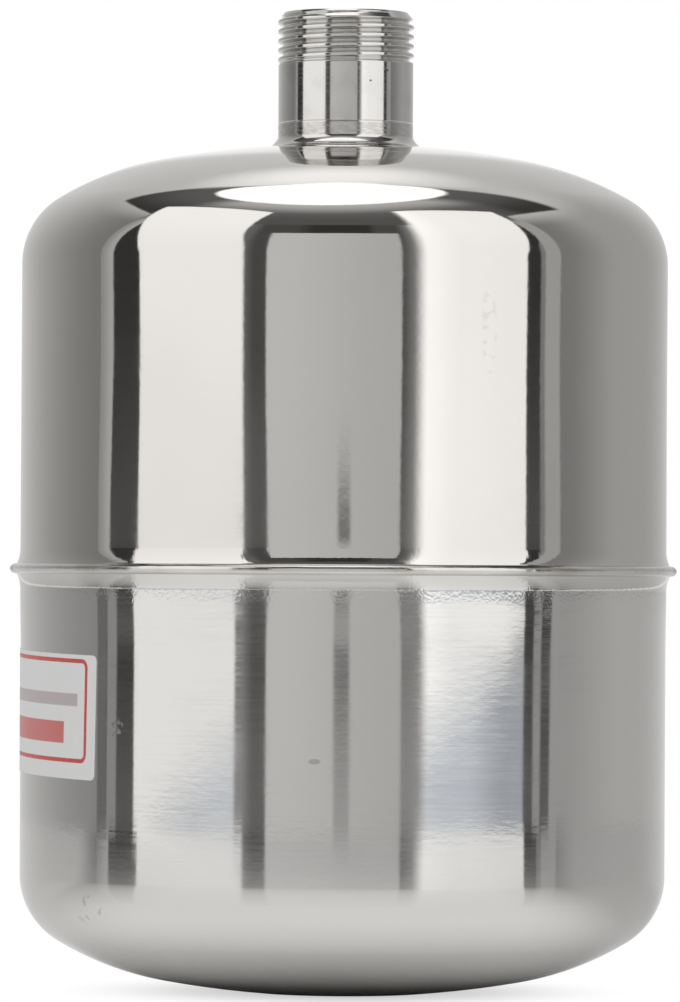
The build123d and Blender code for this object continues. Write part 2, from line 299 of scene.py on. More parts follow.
# %% [markdown]
# Sheet that was rolled, drawn and buffed is a mirror with a memory: a fine skin like orange peel, and
# hairlines that run round the cup from the buffing wheel. Both are far too fine for geometry, so bumps
# make them. Two masks say where wear sits: a soft spot on the front of the tank, and the strip beside
# the seam that the heat of the weld roughened.

# %% Masks for wear and heat
def mark(where, x, z, half_x, half_z):
    """1 inside a soft spot on the tank's front, its place and half sizes in millimetres, else 0."""
    parts = where.node("ShaderNodeSeparateXYZ", None, {0: where})
    off_x = (parts - x * MM) / (half_x * MM)
    off_z = (parts.other(2) - z * MM) / (half_z * MM)
    inside = (off_x * off_x + off_z * off_z).ease(0.3, 1.0, 1.0, 0.0)
    return inside * parts.other(1).math("LESS_THAN", parts.other(1), 0.0)


def heated(where, width):
    """1 at the weld bead, down to 0 at a distance from it in metres, for metal that the weld heated."""
    height = where.node("ShaderNodeSeparateXYZ", None, {0: where}, output=2)
    return abs(height - seam_z).ease(width * 0.45, width, 1.0, 0.0)


# %% [markdown]
# The upper cup is the brighter one. Its hairlines run round it, a weak peel breaks up the edges of
# what it mirrors, and water has dried in a streak below the dome.

# %% The polished upper cup
def polished_steel():
    bright, cloudy = (0.715, 0.695, 0.665, 1), (0.64, 0.62, 0.59, 1)
    material, shader, where = finish_of("polished_steel", bright, 0.06, 1.0)
    peel = speckle(where, 300, 2.0)
    frays = speckle(where, 1.0, 2.0, 0.6, stretch=(330, 330, 330))
    hairs = speckle(where, 1.0, 3.0, 0.6, stretch=(50, 50, 4000))
    lines = bump(hairs, 0.5 * MICRON)
    skin = bump(peel, 2.2 * MICRON, normal=lines)
    blistered = speckle(where, 650, 2.0) * heated(where, 7 * MM)
    skin = bump(blistered, 10 * MICRON, normal=skin)
    feed(shader, "Normal", bump(frays, 4 * MICRON, normal=skin))
    cloud = speckle(where, 35, 3.0)
    drips = mark(where, x=34, z=160, half_x=2.2, half_z=15) * speckle(where, 420, 2.0).ease(0.52, 0.6)
    worn = hairs.ease(0.35, 0.75, 0.03, 0.06) + cloud.ease(0.45, 0.75, 0.0, 0.025)
    feed(shader, "Roughness", worn + drips * 0.12)
    dull = cloud.ease(0.4, 0.8) * 0.25 + drips * 0.25
    feed(shader, "Base Color", dull.mix(bright, cloudy))
    return material


steel_upper = polished_steel()

# %% [markdown]
# The lower cup was only brushed: the belt ran round it and left rings that widen every reflection
# upwards and downwards, with paler patches where the belt pressed longer.

# %% The brushed lower cup
def brushed_steel():
    bright, dark = (0.705, 0.69, 0.665, 1), (0.25, 0.25, 0.26, 1)
    material, shader, where = finish_of("brushed_steel", bright, 0.08, 1.0)
    rings = speckle(where, 1.0, 3.0, 0.6, stretch=(60, 60, 2200))
    peel = speckle(where, 1.0, 2.0, 0.6, stretch=(260, 260, 600))
    lines = bump(rings, 0.8 * MICRON)
    blistered = speckle(where, 1300, 2.0) * heated(where, 9.5 * MM)
    skin = bump(blistered, 20 * MICRON, normal=lines)
    feed(shader, "Normal", bump(peel, 3.5 * MICRON, normal=skin))
    patches = speckle(where, 24, 3.0, 0.6, shift=(0.3, 0.2, 0.7)).ease(0.45, 0.7)
    scuff = mark(where, x=-53, z=65, half_x=2.2, half_z=3.0) * speckle(where, 900, 2.0).ease(0.5, 0.6)
    drops = mark(where, x=-60, z=22, half_x=5, half_z=4) * speckle(where, 500, 1.0).ease(0.58, 0.66)
    wear = scuff + drops
    feed(shader, "Roughness", patches * 0.04 + rings.ease(0.3, 0.7, 0.03, 0.06) + wear * 0.2)
    smudge = mark(where, x=-6.6, z=58.1, half_x=1.7, half_z=0.8)
    feed(shader, "Base Color", (smudge * 0.45 + wear * 0.3).mix(bright, dark))
    return material


steel_lower = brushed_steel()

# %% [markdown]
# The bead froze with fine scales and a faint straw tint. The nipple was turned on a lathe, so its
# grooves run round it, and it is browned just above its weld. The small pieces are cast, moulded or
# drawn, and a fine grain with a colour that wanders a little is enough for them.

# %% Finishes of the bead, the nipple and the small pieces
def weld_bead():
    material, shader, where = finish_of("weld_bead", (0.62, 0.60, 0.57, 1), 0.22, 1.0)
    scales = speckle(where, 600, 2.0)
    feed(shader, "Normal", bump(scales, 10 * MICRON))
    tint = speckle(where, 45, 2.0).ease(0.4, 0.7)
    feed(shader, "Base Color", tint.mix((0.70, 0.69, 0.67, 1), (0.58, 0.55, 0.50, 1)))
    feed(shader, "Roughness", scales.ease(0.3, 0.7, 0.08, 0.18))
    return material


def turned_steel():
    bare, browned, rust = (0.68, 0.67, 0.65, 1), (0.46, 0.41, 0.37, 1), (0.12, 0.10, 0.09, 1)
    material, shader, where = finish_of("turned_steel", bare, 0.14, 1.0)
    cuts = speckle(where, 1.0, 2.0, 0.6, stretch=(30, 30, 5200))
    height = where.node("ShaderNodeSeparateXYZ", None, {0: where}, output=2)
    burnt = height.ease(208.5 * MM, 209.0 * MM) * height.ease(211.7 * MM, 212.0 * MM, 1.0, 0.0)
    scale = speckle(where, 1.0, 3.0, 0.6, stretch=(500, 500, 1600))
    skin = bump(scale * burnt, 14 * MICRON, normal=bump(cuts, 1.2 * MICRON))
    feed(shader, "Normal", skin)
    feed(shader, "Roughness", cuts.ease(0.3, 0.7, 0.06, 0.13) + burnt * scale.ease(0.35, 0.7, 0.01, 0.12))
    low_pit = mark(where, x=6.0, z=221.9, half_x=0.4, half_z=0.35)
    high_pit = mark(where, x=10.1, z=224.6, half_x=0.35, half_z=0.3)
    stain = speckle(where, 130, 3.0).ease(0.45, 0.8) * 0.35 + burnt * scale.ease(0.35, 0.65, 0.05, 0.45)
    pitted = ((low_pit + high_pit) * 0.8).mix(stain.mix(bare, browned), rust)
    feed(shader, "Base Color", pitted)
    return material


def grainy(name, colour, darker, roughness, metallic, scale, depth):
    """A finish with a grain of so many specks per metre and so deep, in two colours."""
    material, shader, where = finish_of(name, colour, roughness, metallic)
    grain = speckle(where, scale, 3.0)
    wander = speckle(where, scale / 12, 2.0)
    feed(shader, "Normal", bump(grain, depth))
    feed(shader, "Base Color", wander.ease(0.35, 0.7).mix(colour, darker))
    feed(shader, "Roughness", grain.ease(0.3, 0.7, roughness * 0.85, roughness * 1.15))
    return material


bead_finish = weld_bead()
turned_finish = turned_steel()
finishes = {
    "polished_steel": steel_upper,
    "brushed_steel": steel_lower,
    "weld_bead": bead_finish,
    "turned_steel": turned_finish,
    "black_rubber": grainy(
        "black_rubber", (0.018, 0.018, 0.019, 1), (0.03, 0.03, 0.031, 1), 0.62, 0.0, 900, 30 * MICRON),
    "red_rubber": grainy(
        "red_rubber", (0.32, 0.03, 0.02, 1), (0.25, 0.02, 0.02, 1), 0.55, 0.0, 1500, 10 * MICRON),
    "hoop_steel": grainy(
        "hoop_steel", (0.6, 0.6, 0.6, 1), (0.52, 0.53, 0.55, 1), 0.38, 1.0, 1200, 6 * MICRON),
    "spring_steel": grainy(
        "spring_steel", (0.55, 0.55, 0.56, 1), (0.48, 0.48, 0.5, 1), 0.3, 1.0, 3000, 2 * MICRON),
    "brass": grainy(
        "brass", (0.83, 0.6, 0.27, 1), (0.72, 0.49, 0.2, 1), 0.24, 1.0, 2500, 3 * MICRON),
    "black_plastic": grainy(
        "black_plastic", (0.02, 0.02, 0.021, 1), (0.03, 0.03, 0.032, 1), 0.42, 0.0, 2600, 12 * MICRON),
}
print("finishes", sorted(finishes))

# %% [markdown]
# The upper cup is one sheet, drawn from its hole to its rim and back along its inner face. The
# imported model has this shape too, but its facets are too coarse for a mirror, in which a facet of one
# degree already breaks a straight edge. The spun piece has finer steps and smooth normals.

# %% The upper cup
hole_angle = math.degrees(math.asin(nipple_radius / crown_radius))
crown_rest = (crown_radius - shoulder_radius) * math.sin(math.radians(crown_angle))
shoulder_sine = (body_radius - knuckle_radius - crown_rest) / (shoulder_radius - knuckle_radius)
shoulder_end = math.degrees(math.asin(shoulder_sine))
dome_depth = (
    crown_radius
    - (crown_radius - shoulder_radius) * math.cos(math.radians(crown_angle))
    - (shoulder_radius - knuckle_radius) * math.cos(math.radians(shoulder_end))
)
wall_length = cup_depth - dome_depth - flare_height
wall_rings = 20
dome_moves = [
    ("bend", shoulder_radius, shoulder_end - crown_angle),
    ("bend", knuckle_radius, 90 - shoulder_end),
    ("run", wall_length, wall_rings),
]
outer_flare = math.degrees(math.acos(1 - lip_reach / flare_radius))
inner_flare = math.degrees(math.asin(flare_height / (flare_radius + sheet)))
print("dome depth", dome_depth, "wall", wall_length, "flare", outer_flare, inner_flare)


def cup_section(start, heading, moves):
    """Closed section of a cup: outer face to the rim, and back along the inner face."""
    outside = trace(start, heading, moves + dome_moves + [("bend", flare_radius, -outer_flare)])
    inside = trace(start, heading, moves + dome_moves + [("bend", flare_radius, -inner_flare)], sheet)
    return outside + [(body_radius + lip_reach, 0)] + inside[::-1]


edge = (nipple_radius, -cup_depth + dome_height(nipple_radius))
section = cup_section(edge, hole_angle, [("bend", crown_radius, crown_angle - hole_angle)])
section = [(radius, seam_z - height) for radius, height in section]
upper_cup = lathe("upper_cup", section, steps=256)

# %% [markdown]
# Drawing leaves shallow waves in the sheet, some tenths of a millimetre deep. A mirror shows them,
# and they bend the long reflections, so they are real shape here: noise moves the points of the spun
# cup. The rim stays true for the weld, and the middle of the crown for the nipple.

# %% Press the waves into the upper cup
broad_waves, broad_depth = 20, 0.42 * MM
fine_waves, fine_depth = 55, 0.03 * MM
calm_crown, wavy_shoulder = 27 * MM, 62 * MM
dome_lean = 2.5


def swell(place, upright, fade):
    """How far the sheet stands out: waves of so many per metre upwards, weaker near the seam."""
    broad = noise.noise(Vector((place.x * broad_waves + 3.1, place.y * broad_waves, place.z * upright)))
    fine = noise.noise(Vector((place.x * fine_waves, place.y * fine_waves + 7.7, place.z * upright * 2)))
    keep = ramp(abs(place.z - seam_z), flare_height, fade)
    keep *= ramp(math.hypot(place.x, place.y), calm_crown, wavy_shoulder)
    return (broad_depth * broad + fine_depth * fine) * keep


def press_waves(piece, upright, fade):
    """Moves the points of a cup by its waves, outwards on the wall and ever more upwards on the dome."""
    knee = cup_depth - dome_depth
    for vertex in piece.data.vertices:
        place = vertex.co
        rise = place.z - seam_z
        beyond = math.copysign(max(0.0, abs(rise) - knee), rise)
        outwards = Vector((place.x, place.y, dome_lean * beyond)).normalized()
        vertex.co = place + outwards * swell(place, upright, fade)
    print("waves pressed into", piece.name)


press_waves(upper_cup, upright=12, fade=62 * MM)
settle(upper_cup, "tank", steel_upper, "polished_steel", "upper_shell")

# %% [markdown]
# The lower cup is the same pressing, turned over, with a recess pushed up into its crown so that the
# air valve doesn't touch the ground. Its section starts at the bush in the floor of the recess and
# follows the recess out to the crown. Its waves are longer and start close to the seam.

# %% The lower cup
foot_angle = math.degrees(math.asin(foot_radius / (crown_radius - foot_bend)))
foot_lift = (crown_radius - foot_bend) * (1 - math.cos(math.radians(foot_angle)))
bend_end = foot_bend - foot_bend * math.sin(math.radians(recess_draft))
corner_end = recess_height - recess_corner * (1 - math.sin(math.radians(recess_draft)))
recess_wall = (corner_end - bend_end) / math.cos(math.radians(recess_draft))
recess_floor = (
    foot_radius
    - foot_bend * math.cos(math.radians(recess_draft))
    - recess_wall * math.sin(math.radians(recess_draft))
    - recess_corner * math.cos(math.radians(recess_draft))
)
recess_moves = [
    ("run", recess_floor - bush_radius, 1),
    ("bend", recess_corner, recess_draft - 90),
    ("run", recess_wall, 1),
    ("bend", foot_bend, 90 - recess_draft + foot_angle),
    ("bend", crown_radius, crown_angle - foot_angle),
]
section = cup_section((bush_radius, -cup_depth + foot_lift + recess_height), 0, recess_moves)
section = [(radius, seam_z + height) for radius, height in section]
lower_cup = lathe("lower_cup", section, steps=256)
lower_waves, lower_fade = 4, 20 * MM
press_waves(lower_cup, lower_waves, lower_fade)
settle(lower_cup, "tank", steel_lower, "brushed_steel", "lower_shell")

# %% [markdown]
# The weld bead closes the two flared rims. It was run by machine, so it is even, with fine ripples
# where the pool froze step by step, and one thicker place where the bead met its own start.

# %% The weld bead
rise = flare_height - math.sqrt(flare_radius**2 - (flare_radius - lip_reach) ** 2)
bead_start = body_radius + lip_reach
bead_hump = bead_reach - lip_reach
bead_root = bead_start - 0.3 * MM
bead_steps = 16
bead = [(bead_root, seam_z - rise)]
for step in range(bead_steps + 1):
    angle = math.pi * (step / bead_steps - 0.5)
    bead.append((bead_start + bead_hump * math.cos(angle), seam_z + rise * math.sin(angle)))
bead.append((bead_root, seam_z + rise))
weld_ring = lathe("weld_ring", bead, steps=720)

# %% [markdown]
# Each ripple is the edge of one small pool of metal, so they are spaced evenly and bent into arcs.
# Slower noise makes the bead swell and shrink a little, and it grows where its two ends overlap.

# %% Ripples and the overlap
ripple_count, ripple_depth, ripple_bend, ripple_arc = 360, 0.045 * MM, 1.2, 900
wander_scale, wander_depth, wander_rest = 350, 0.08 * MM, 0.2
overlap, overlap_width, overlap_growth = math.radians(80), 0.09, 0.18
bead_shrink = 0.04 * MM
for vertex in weld_ring.data.vertices:
    place = vertex.co
    angle = math.atan2(place.x, -place.y)
    out = max(0.0, (math.hypot(place.x, place.y) - bead_start) / bead_hump)
    bent = ripple_bend * math.sin(place.z * ripple_arc)
    ripple = ripple_depth * math.sin(angle * ripple_count + bent)
    wander = wander_depth * (noise.noise(place * wander_scale) - wander_rest)
    lump = math.exp(-(((angle - overlap) / overlap_width) ** 2))
    height = (place.z - seam_z) * (1 + overlap_growth * lump * out)
    reach = out * (ripple + wander - bead_shrink)
    place.x += math.sin(angle) * reach
    place.y -= math.cos(angle) * reach
    place.z = seam_z + height
print("bead reaches", max(math.hypot(v.co.x, v.co.y) for v in weld_ring.data.vertices) / MM, "mm")
settle(weld_ring, "tank", bead_finish, "weld_bead", "seam_weld")

# %% [markdown]
# The nipple is a pipe end with a 1 inch parallel thread, pitch 2.309 mm. It is spun with many fine
# rings where the thread goes, and each point there is then cut in to the depth that the screw line
# gives it, as the tool on the lathe does. A fine turned line runs round the neck above the weld.

# %% The nipple's blank
nipple_bore = 13.5 * MM
thread_radius = 16.6245 * MM
thread_depth = 1.479 * MM
pitch = 2.309 * MM
thread_length = 12.2 * MM
rim_radius = 15.1 * MM
rim_chamfer = 1.9 * MM
bore_chamfer = 0.7 * MM
runout = 1.6 * MM
neck_edge = 209.0 * MM
line_z = 212.12 * MM
line_depth = 0.05 * MM
line_half = 0.05 * MM
line_slope = 0.07 * MM
line_margin = 0.2 * MM

thread_low = nipple_top - thread_length - runout
rings = 150
line_outer = line_half + line_slope
section = [
    (nipple_bore, nipple_bottom),
    (nipple_radius, nipple_bottom),
    (nipple_radius, neck_edge),
    (nipple_radius, line_z - line_outer - line_margin),
    (nipple_radius, line_z - line_outer),
    (nipple_radius - line_depth, line_z - line_half),
    (nipple_radius - line_depth, line_z + line_half),
    (nipple_radius, line_z + line_outer),
    (nipple_radius, line_z + line_outer + line_margin),
    (nipple_radius, thread_low - 0.3 * MM),
]
section += [(thread_radius, thread_low + (nipple_top - thread_low) * n / rings) for n in range(rings + 1)]
section += [
    (nipple_bore + bore_chamfer, nipple_top),
    (nipple_bore, nipple_top - bore_chamfer),
]
pipe_end = lathe("pipe_end", section, steps=192, smooth=40)

# %% [markdown]
# The tool is drawn out at the lower end of the cut, so the last turn fades into the plain neck. The
# crests are broad, the flanks nearly straight, the roots round, and the end of the pipe is chamfered.

# %% Cut the thread
crest_half, flank_share, straightness = 0.27, 0.69, 0.4
cut_share, first_turn = 0.84, 0.35
fade_start, fade_length = 0.9 * MM, 1.3 * MM


def thread_cut(turns):
    """Depth of the cut, 0 to 1, at a place along the pitch: broad crest, straight flanks, round root."""
    place = abs(turns % 1 - 0.5) * 2
    flank = min(1.0, max(0.0, (place - crest_half) / flank_share))
    return flank * flank * (3 - 2 * flank) * (1 - straightness) + flank * straightness


for vertex in pipe_end.data.vertices:
    place = vertex.co
    radius = math.hypot(place.x, place.y)
    if place.z < thread_low - 0.01 * MM or radius < rim_radius:
        continue
    angle = math.atan2(place.y, place.x) / (2 * math.pi)
    from_top = nipple_top - place.z
    fade = min(1.0, max(0.0, (place.z - thread_low - fade_start) / fade_length))
    cut = thread_cut(place.z / pitch - angle + first_turn) * thread_depth * cut_share * fade
    plain = nipple_radius + (thread_radius - nipple_radius) * fade
    chamfer = rim_radius + (thread_radius - rim_radius) * from_top / rim_chamfer
    new_radius = min(plain - cut, chamfer)
    place.x *= new_radius / radius
    place.y *= new_radius / radius
print("thread cut from", thread_low, "to", nipple_top)
settle(pipe_end, "tank", turned_finish, "turned_steel", "nipple")

# %% [markdown]
# The fillet weld under the nipple is hollow: steep against the neck and flat where it runs out on the
# dome. Its face is drawn from the neck down, by how far it leans from the upright, in degrees, at
# shares of its height.

# %% The fillet weld under the nipple
fillet_reach, fillet_rise = 3.0 * MM, 2.6 * MM
fillet_squeeze = 0.74
toe = nipple_radius + fillet_reach
root_z = crown_z - dome_height(nipple_radius)
toe_z = crown_z - dome_height(toe)
fillet_height = fillet_rise + root_z - toe_z
leans = [
    (0, 86), (0.03, 80), (0.08, 72), (0.15, 64), (0.25, 58), (0.38, 52),
    (0.52, 47), (0.66, 41), (0.78, 34), (0.88, 24), (0.95, 12), (1, 0),
]
reach_here = 0.0
face = [(nipple_radius, root_z + fillet_rise)]
for (high, lean_high), (low, lean_low) in zip(leans[::-1], leans[-2::-1]):
    step_down = (high - low) * fillet_height
    reach_here += fillet_squeeze * step_down * math.tan(math.radians((lean_high + lean_low) / 2))
    face.append((nipple_radius + reach_here, toe_z + low * fillet_height))
print("fillet reaches", reach_here / MM, "mm")
sunk = 0.2 * MM
fillet = face[::-1]
fillet += [(nipple_radius - sunk, root_z + fillet_rise), (nipple_radius - sunk, toe_z - sunk)]
fillet += [(nipple_radius + reach_here - 2 * sunk, toe_z - sunk)]
neck_weld = lathe("neck_weld", fillet, steps=192)
settle(neck_weld, "tank", turned_finish, "weld_bead", "nipple_weld")

# %% [markdown]
# The label is a thin film wrapped round the left of the lower cup, a little askew. It is laid out
# flat, its corners are rounded, it is cut into upright strips so that it can follow the wall, and
# then each point is wrapped round the cylinder. Its UV map keeps the flat layout for the print.

# %% The label
label_length, label_height, label_film = 95.0 * MM, 29.7 * MM, 0.15 * MM
label_corner, label_glue, label_drop = 1.5 * MM, 0.03 * MM, 20.7 * MM
label_tilt, label_start = math.radians(1.3), math.radians(48)
strips = 64
bpy.ops.object.select_all(action="DESELECT")
bpy.ops.mesh.primitive_plane_add(size=1, location=(0, 0, 0))
film = bpy.context.object
film.name = film.data.name = "label_film"
bpy.ops.object.mode_set(mode="EDIT")
bpy.ops.mesh.select_all(action="SELECT")
bpy.ops.transform.resize(value=(label_length, label_height, 1))
bpy.ops.mesh.select_mode(type="VERT")
bpy.ops.mesh.bevel(offset=label_corner, segments=6, affect="VERTICES")
for strip in range(1, strips):
    bpy.ops.mesh.select_all(action="SELECT")
    cut_x = label_length * (strip / strips - 0.5)
    bpy.ops.mesh.bisect(plane_co=(cut_x, 0, 0), plane_no=(1, 0, 0))
bpy.ops.object.mode_set(mode="OBJECT")
middle = label_start + label_length / body_radius / 2
middle_z = seam_z - label_drop - label_height / 2 + label_length / 2 * math.sin(label_tilt)
for vertex in film.data.vertices:
    along, up = vertex.co.x, vertex.co.y
    across = along * math.cos(label_tilt) + up * math.sin(label_tilt)
    rise_here = up * math.cos(label_tilt) - along * math.sin(label_tilt)
    angle = middle - across / body_radius
    outwards = Vector((-math.sin(angle), -math.cos(angle), 0))
    place = outwards * body_radius + Vector((0, 0, middle_z + rise_here))
    vertex.co = place + outwards * (swell(place, lower_waves, lower_fade) + label_glue)
bpy.ops.object.mode_set(mode="EDIT")
bpy.ops.mesh.select_all(action="SELECT")
bpy.ops.mesh.normals_make_consistent(inside=False)
bpy.ops.object.mode_set(mode="OBJECT")
first_face = film.data.polygons[0]
outward = first_face.normal.dot(Vector((first_face.center.x, first_face.center.y, 0)))
if outward < 0:
    film.data.flip_normals()
thick = film.modifiers.new("film", "SOLIDIFY")
thick.thickness = label_film - label_glue
thick.offset = 1.0
bpy.ops.object.modifier_apply(modifier="film")
bpy.ops.object.shade_smooth_by_angle(angle=math.radians(35))
print("label", len(film.data.polygons), "faces")

# %% [markdown]
# The print is drawn in millimetres on the flat label: a red frame with round corners, which is a line
# at a fixed distance from a smaller rectangle, and two plain rules, a thin grey and a wide red one.

# %% The print on the label
def label_print():
    length, height = label_length / MM, label_height / MM
    frame_side, frame_foot, frame_head, frame_corner, frame_width = 3.3, 3.9, 1.0, 2.2, 1.0
    film_white, paper_white = (0.78, 0.78, 0.77, 1), (0.80, 0.80, 0.795, 1)
    grey_ink, red_ink = (0.42, 0.33, 0.33, 1), (0.62, 0.075, 0.06, 1)
    material, shader, where = finish_of("label_film", film_white, 0.34, 0.0)
    uv = where.node("ShaderNodeUVMap")
    parts = uv.node("ShaderNodeSeparateXYZ", None, {0: uv})
    across = parts * length
    up = parts.other(1) * height
    middle_x, middle_y = length / 2, (frame_foot + height - frame_head) / 2
    half_x = length / 2 - frame_side - frame_corner
    half_y = (height - frame_head - frame_foot) / 2 - frame_corner
    beside = abs(across - middle_x) - half_x
    beyond = abs(up - middle_y) - half_y
    out_x = beside.math("MAXIMUM", beside, 0.0)
    out_y = beyond.math("MAXIMUM", beyond, 0.0)
    distance = (out_x * out_x + out_y * out_y) ** 0.5 - frame_corner
    frame_line = distance.band(-frame_width, 0.0, 0.08)
    thin_rule = up.band(17.4, 20.4, 0.1) * across.band(8, length - 7.2, 0.2)
    wide_rule = up.band(8.4, 13.6, 0.1) * across.band(12, length - 13, 0.2)
    paper = speckle(where, 900, 2.0)
    ink = frame_line * paper.ease(0.2, 0.5, 0.88, 1.0) + wide_rule * 0.85
    red = ink.math("MINIMUM", ink, 1.0)
    feed(shader, "Base Color", red.mix((thin_rule * 0.7).mix(paper_white, grey_ink), red_ink))
    feed(shader, "Normal", bump(paper, 4 * MICRON))
    return material


settle(film, "tank", label_print(), "label_film", "label")

# %% [markdown]
# The valve pin pushes its spring together when it is pressed. The imported spring has the right coils,
# so the new piece is a copy of its mesh, merged.

# %% The valve spring
bpy.ops.object.select_all(action="DESELECT")
coil_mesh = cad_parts["core_spring"].data.copy()
coil = bpy.data.objects.new("pin_spring", coil_mesh)
coil_mesh.name = "pin_spring"
bpy.context.scene.collection.objects.link(coil)
bpy.context.view_layer.objects.active = coil
coil.select_set(True)
bpy.ops.object.mode_set(mode="EDIT")
bpy.ops.mesh.select_all(action="SELECT")
bpy.ops.mesh.remove_doubles(threshold=0.001 * MM)
bpy.ops.mesh.select_all(action="SELECT")
bpy.ops.mesh.normals_make_consistent(inside=False)
bpy.ops.object.mode_set(mode="OBJECT")
bpy.ops.object.shade_smooth_by_angle(angle=math.radians(40))
settle(coil, "tank", finishes["spring_steel"], "spring_steel", "core_spring")
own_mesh(coil)

# %% [markdown]
# The pieces inside the tank and in the valve are good enough as packed. They only need their finish:
# brass for the valve, rubber for the diaphragm and the seals, plastic for the cap.

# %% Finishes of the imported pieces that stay
node_finishes = {
    "diaphragm": "black_rubber",
    "clench_hoop": "hoop_steel",
    "valve_bush": "turned_steel",
    "bush_weld": "weld_bead",
    "valve_stem": "brass",
    "stem_seal": "black_rubber",
    "core_body": "brass",
    "core_seal": "red_rubber",
    "core_pin": "brass",
    "poppet_seal": "black_rubber",
    "valve_cap": "black_plastic",
    "cap_seal": "black_rubber",
}
for node, finish in node_finishes.items():
    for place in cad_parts[node].material_slots:
        place.material = finishes[finish]
print("finished", len(node_finishes), "packed pieces")

# %% [markdown]
# Polished metal shows the room. The room here is a studio: a large white panel on each side of the
# camera, a dimmer one behind it, dark gaps between them, a soft box overhead in a dark ceiling, and
# grey side walls that get paler towards the back. Each line lays one thing over what is there: where
# it is, in degrees of turn to the right and of tilt upwards seen from the tank, and how bright it is.

# %% The studio
world = bpy.data.worlds.new("studio")
bpy.context.scene.world = world
world.use_nodes = True
room = world.node_tree
room.nodes.clear()
direction = Wire(room).node("ShaderNodeTexCoord", output=0)
parts = direction.node("ShaderNodeSeparateXYZ", None, {0: direction})
side, back, up = parts, parts.other(1), parts.other(2)
turn = side.math("ARCTAN2", side, -1 * back) * (180 / math.pi)
tilt = up.math("ARCSINE", up) * (180 / math.pi)
low = tilt.ease(-0.5, -0.2, 1.0, 0.0)


def over(under, mask, level):
    """A level laid over another where the mask is 1."""
    return under + mask * (level - under)


def both(above, below):
    """A number that is one thing above the camera's height and another below it."""
    return over(above, low, below)


def between(left, right, soft=0.5):
    """1 between two turns, in degrees."""
    return (turn - left).ease(-soft, soft) * (right - turn).ease(-soft, soft)


def slant(x, y, z, soft=0.012, shift=0.0):
    """1 on one side of a plane through the tank, which is a straight edge of a panel at any slant."""
    return (side * x + back * y + up * z + shift).ease(-soft, soft)


# Walls, and the dark between the panels
left_wall = turn.ease(-185, -88, 0.68, both(0.22, 0.30))
right_wall = turn.ease(84, 116, both(0.24, 0.40), both(0.42, 0.50))
right_wall = right_wall + turn.ease(130, 185, 0.0, 0.25)
light = over(left_wall, turn.math("GREATER_THAN", turn, 0.0), right_wall)
light = over(light, tilt.ease(35, 52), 0.66)
lean = tilt.ease(8, 40) * 6.5
front = between(both(-90.9, -97) - lean, both(73.5, 79) + lean)
gloom = both(tilt.ease(0.2, 2.2, 0.09, 0.04), tilt.ease(-2.1, -0.3, 0.14, 0.05))
inner_left = turn.ease(-36, -31, both(0.12, 0.16), 0.04)
inner_left = inner_left * turn.ease(-50, -40) * turn.ease(-20, -10, 1.0, 0.0)
inner_right = turn.ease(19, 26, both(0.04, 0.2), both(0.24, 0.22)) * between(10, 40, 2)
light = over(light, front, gloom + inner_left + inner_right)

# Strips of light at the far edges of the dark
high = 1 - low
left_strip = between(-97, -90.9) * tilt.ease(38, 46, 1.0, 0.0) * high
light = over(light, left_strip, turn.ease(-97, -91, 0.34, 0.50))
light = over(light, between(75.6, 82.6) * tilt.ease(40, 48, 1.0, 0.0) * high, 0.42)
light = over(light, between(-92, -87.4) * low, 0.32)
light = over(light, between(-97, -92.4) * low, 0.17)
light = over(light, between(71.3, 74.7) * low, 0.36)

# The two white panels, with nearly upright inner edges and slanted outer and top edges
left_inner = both(-35.3, -38.4) - tilt.ease(5, 35) * 3.0
left_outer = slant(0.207, -0.934, tilt.ease(0, 55, 0.18, 0.345), 0.008, low * 0.038)
left_box = between(-120, left_inner, 0.8) * left_outer * slant(-0.871, -0.492, -0.547)
right_inner = turn.ease(both(23.5, 25.5), both(29, 30))
right_outer = slant(-0.382, -0.911, 0.158, 0.008)
right_box = right_inner * right_outer * slant(0.586, -0.81, -0.512)

# How bright the panels are, and what stands below their lower edges
left_level = over(tilt.ease(0.2, 2.5, 1.05, 1.13) + tilt.ease(5, 45, 0.0, 0.08), low, 1.05)
right_level = turn.ease(27, 42, 1.34, 1.19) - turn.ease(42, 66, 0.0, both(0.05, 0.10))
right_level = (right_level + tilt.ease(5, 45, 0.0, 0.06)) * over(1.0, low, turn.ease(57, 68, 1.0, 0.5))
under_left = (tilt - (turn + 38) * 0.0176).ease(-1.45, -1.30, 1.0, 0.0)
under_right = (tilt - (turn - 28) * 0.016).ease(-1.33, -1.20, 1.0, 0.0)
light = over(light, left_box, over(left_level, under_left, turn.ease(-75, -42, 0.55, 0.68)))
light = over(light, right_box, over(right_level, under_right, turn.ease(42, 60, 0.70, 0.46)))
blue = left_box * under_left + right_box * under_right

# The grey panel behind the camera, and the camera on its stand
middle_panel = between(-26.7, 19.6) * tilt.ease(28, 29, 1.0, 0.0)
light = over(light, middle_panel, turn.ease(-25, 18, 0.66, 0.545))
light = over(light, between(-3.0, 2.2, 0.8) * low, tilt.ease(-1.7, -0.5, 0.42, 0.18))
light = over(light, between(-1.9, 2.3, 0.9) * high * tilt.ease(0.3, 1.3, 1.0, 0.0), 0.20)

